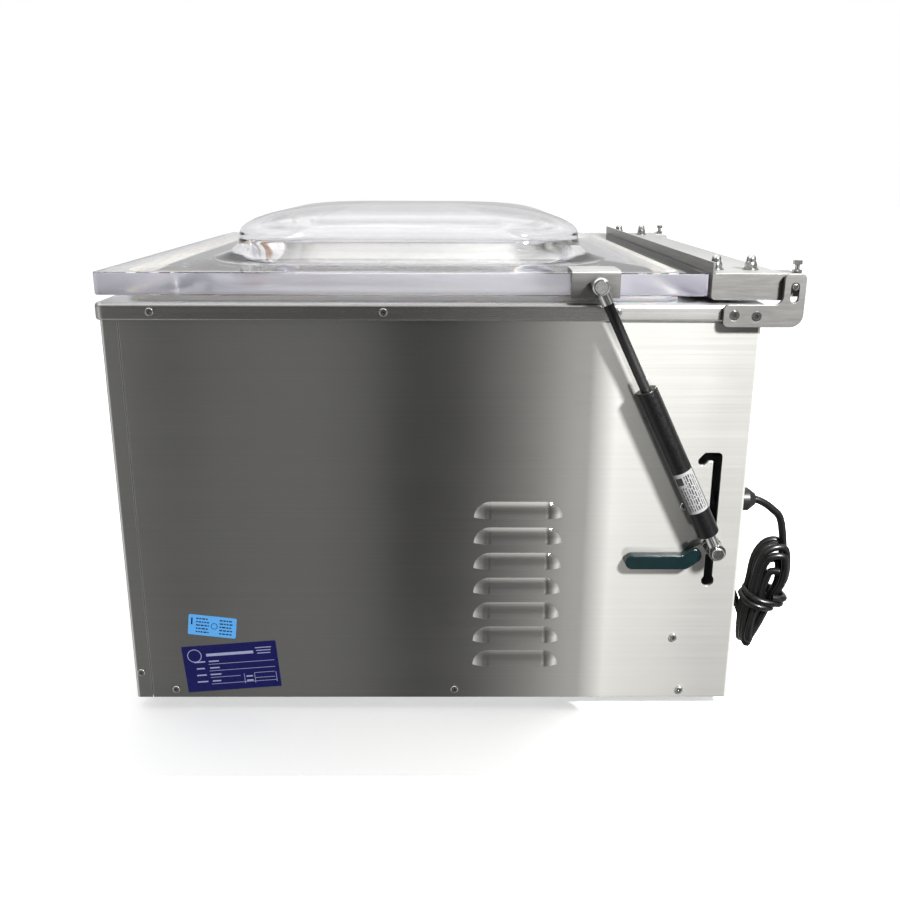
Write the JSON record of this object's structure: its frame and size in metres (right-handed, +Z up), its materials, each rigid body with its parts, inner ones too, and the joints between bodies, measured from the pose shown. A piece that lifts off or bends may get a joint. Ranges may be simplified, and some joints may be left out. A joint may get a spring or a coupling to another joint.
{
  "type": "vacuum packing machine",
  "caption": "Benchtop chamber vacuum packer: brushed steel cabinet, clear domed lid hinged at the back, side gas spring with slotted release lever, seal bar, pump and cord.",
  "frame": {"origin": "on the floor, under the middle of the whole machine's box", "axes": "+X operator's right (gas spring side), -Y front, +Y hinge side, +Z up"},
  "size_m": [0.6502, 0.739, 0.5185],
  "materials": {
    "steel": "horizontally brushed stainless",
    "deck_steel": "satin stainless with rounded edges",
    "zinc": "bright plated hardware",
    "chamber_steel": "satin stainless",
    "galvanised": "zinc coated sheet",
    "acrylic": "clear polished acrylic",
    "silicone": "white soft silicone",
    "red_silicone": "heat-resistant silicone",
    "black_rubber": "matt black",
    "black_plastic": "moulded black",
    "spring_black": "gloss black enamel",
    "grip": "dark teal dipped vinyl",
    "aluminium": "extruded satin",
    "white_plastic": "white polyethylene board",
    "motor_grey": "hammered grey enamel",
    "board": "green board",
    "red_plastic": "moulded red",
    "fascia": "printed overlay",
    "button": "light grey",
    "hose": "ribbed translucent hose",
    "copper": "varnished copper and laminations",
    "tie": "white tie"
  },
  "bodies": {
    "cabinet": {"base_tray": "galvanised", "rubber_feet": "black_rubber", "frame_posts": "galvanised", "slot_guide_plate": "galvanised", "right_side_panel": "steel", "left_side_panel": "steel", "front_panel": "steel", "rear_panel": "steel", "top_deck": "deck_steel", "vacuum_chamber": "chamber_steel", "lid_gasket": "silicone", "panel_screws": "zinc", "deck_screws": "zinc", "hinge_brackets": "deck_steel", "hinge_bracket_screws": "zinc", "lift_cylinders": "aluminium", "filler_plate": "white_plastic", "vacuum_pump": "motor_grey", "pump_motor": "motor_grey", "exhaust_filter": "motor_grey", "transformer": "copper", "solenoid_valves": "aluminium", "vacuum_hose": "hose", "control_board": "board", "control_fascia": "fascia", "gauge_housing": "zinc", "rocker_frame": "black_plastic", "cable_gland": "black_plastic", "power_cord": "black_rubber", "cord_tie": "tie", "power_plug": "black_plastic"},
    "hinge_float": {"hinge_bushes": "black_plastic"},
    "lid": {"lid_shell": "acrylic", "hinge_bar": "deck_steel", "hinge_bar_nuts": "zinc", "hinge_pins": "zinc", "cross_screws": "zinc", "counter_bar": "aluminium", "counter_silicone": "red_silicone", "lid_spring_bracket": "deck_steel", "stud_nut": "zinc"},
    "spring_carrier": {"slot_pin": "zinc"},
    "gas_spring": {"spring_tube": "spring_black", "spring_guide": "spring_black", "spring_rod": "spring_black", "spring_eye": "zinc", "ball_socket": "zinc", "stud_ball": "zinc"},
    "release_lever": {"lever_tab": "zinc", "lever_grip": "grip"},
    "sealing_bar": {"seal_bar": "aluminium", "heating_strip": "zinc", "lift_pistons": "zinc"},
    "set_key": {"set_button": "button"},
    "plus_key": {"plus_button": "button"},
    "minus_key": {"minus_button": "button"},
    "stop_key": {"stop_button": "red_plastic"},
    "mains_rocker": {"power_rocker": "black_plastic"},
    "needle": {"gauge_needle": "black_plastic"},
    "fan": {"motor_fan": "black_plastic"}
  },
  "joints": [
    {"name": "lid_float", "type": "slide", "parent": "cabinet", "child": "hinge_float", "axis": [0, 0, -1], "range_m": [0, 0.003], "deforming": ["lid_gasket"]},
    {"name": "lid_hinge", "type": "hinge", "parent": "hinge_float", "child": "lid", "pos_m": [-0.0094, 0.3135, 0.453], "axis": [-1, 0, 0], "range_deg": [0, 34]},
    {"name": "slot_slide", "type": "slide", "parent": "cabinet", "child": "spring_carrier", "axis": [0, 0, 1], "range_m": [0, 0.0899]},
    {"name": "spring_swing", "type": "hinge", "parent": "spring_carrier", "child": "gas_spring", "pos_m": [0.3141, 0.258, 0.191], "axis": [-1, 0, 0], "range_deg": [0, 6.84]},
    {"name": "lever_pivot", "type": "hinge", "parent": "spring_carrier", "child": "release_lever", "pos_m": [0.3011, 0.258, 0.191], "axis": [-1, 0, 0], "range_deg": [-15, 20]},
    {"name": "seal_lift", "type": "slide", "parent": "cabinet", "child": "sealing_bar", "axis": [0, 0, 1], "range_m": [0, 0.0068]},
    {"name": "set_press", "type": "slide", "parent": "cabinet", "child": "set_key", "axis": [0, 1, 0], "range_m": [0, 0.0015]},
    {"name": "plus_press", "type": "slide", "parent": "cabinet", "child": "plus_key", "axis": [0, 1, 0], "range_m": [0, 0.0015]},
    {"name": "minus_press", "type": "slide", "parent": "cabinet", "child": "minus_key", "axis": [0, 1, 0], "range_m": [0, 0.0015]},
    {"name": "stop_press", "type": "slide", "parent": "cabinet", "child": "stop_key", "axis": [0, 1, 0], "range_m": [0, 0.004]},
    {"name": "rocker_tip", "type": "hinge", "parent": "cabinet", "child": "mains_rocker", "pos_m": [0.2436, -0.3385, 0.347], "axis": [-1, 0, 0], "range_deg": [0, 14]},
    {"name": "needle_turn", "type": "hinge", "parent": "cabinet", "child": "needle", "pos_m": [0.1206, -0.3475, 0.347], "axis": [0, 1, 0], "range_deg": [0, 240]},
    {"name": "fan_spin", "type": "hinge", "parent": "cabinet", "child": "fan", "pos_m": [-0.1994, 0.0975, 0.108], "axis": [1, 0, 0], "continuous": true}
  ],
  "couplings": [
    {"joint": "slot_slide", "follows": "lid_hinge", "m_per_rad": 0.1506},
    {"joint": "spring_swing", "follows": "lid_hinge", "ratio": 0.19983}
  ]
}
